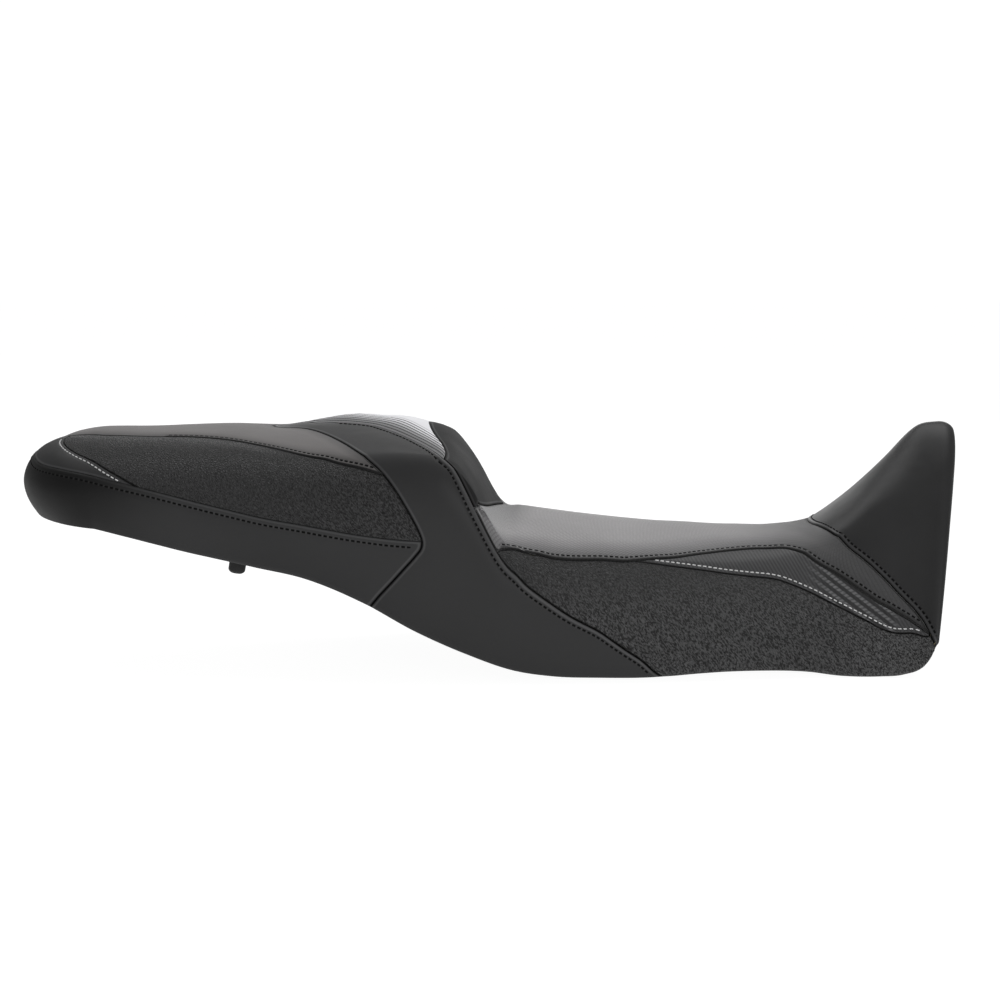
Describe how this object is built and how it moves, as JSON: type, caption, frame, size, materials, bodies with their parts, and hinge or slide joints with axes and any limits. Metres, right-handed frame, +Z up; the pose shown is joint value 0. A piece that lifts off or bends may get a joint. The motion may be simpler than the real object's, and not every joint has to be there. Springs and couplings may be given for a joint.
{
  "type": "motorcycle seat",
  "caption": "Stepped dual motorcycle seat: sewn multi-panel cover over moulded foam on a ribbed plastic pan, with front tongue, latch striker and rubber pads below.",
  "frame": {"origin": "centre of the bounding box in plan, at the seat's lowest level", "axes": "+X towards the tank (front), +Y towards the rider's left, +Z up with the seat at its riding angle"},
  "size_m": [0.7936, 0.259, 0.2072],
  "materials": {
    "pan": "moulded black polypropylene, fine matt texture",
    "foam": "open-celled polyurethane foam, hidden by the cover",
    "hem": "folded hem of the cover, matt black",
    "steel_wire": "galvanised staple wire",
    "anti_slip_fabric": "matt grey-brown anti-slip fabric",
    "rider_fabric": "matt mid-grey anti-slip fabric with a fine square grid",
    "grained_vinyl": "near-black grained leather-look vinyl, low sheen",
    "smooth_vinyl": "black smooth vinyl, matt",
    "silver_insert": "dark silver fabric with fine lengthwise lines",
    "woven_accent": "dark grey twill weave, slight sheen",
    "plated_steel": "zinc-plated steel plate",
    "striker_steel": "polished round bar",
    "screw_steel": "zinc-plated fasteners",
    "bumper_rubber": "black moulded rubber"
  },
  "bodies": {
    "root": {"seat_pan": "pan", "foam_core": "foam", "hem_strip": "hem", "hem_staples": "steel_wire", "pillion_top_panel": "anti_slip_fabric", "pillion_side_left": "grained_vinyl", "pillion_side_right": "grained_vinyl", "rear_wrap_panel": "smooth_vinyl", "rear_skirt_panel": "smooth_vinyl", "hump_side_left": "smooth_vinyl", "hump_side_right": "smooth_vinyl", "hump_top_insert": "silver_insert", "lumbar_panel": "smooth_vinyl", "rider_top_panel": "rider_fabric", "rider_side_left": "grained_vinyl", "rider_side_right": "grained_vinyl", "rider_accent_left": "woven_accent", "rider_accent_right": "woven_accent", "nose_panel": "smooth_vinyl", "front_face_panel": "smooth_vinyl", "front_tongue": "plated_steel", "tongue_screw_left": "screw_steel", "tongue_screw_right": "screw_steel", "striker_plate": "plated_steel", "latch_striker": "striker_steel", "striker_nut_left": "screw_steel", "striker_nut_right": "screw_steel", "bumper_rear_left": "bumper_rubber", "bumper_rear_right": "bumper_rubber", "bumper_middle_left": "bumper_rubber", "bumper_middle_right": "bumper_rubber", "bumper_front_left": "bumper_rubber", "bumper_front_right": "bumper_rubber"}
  },
  "joints": []
}
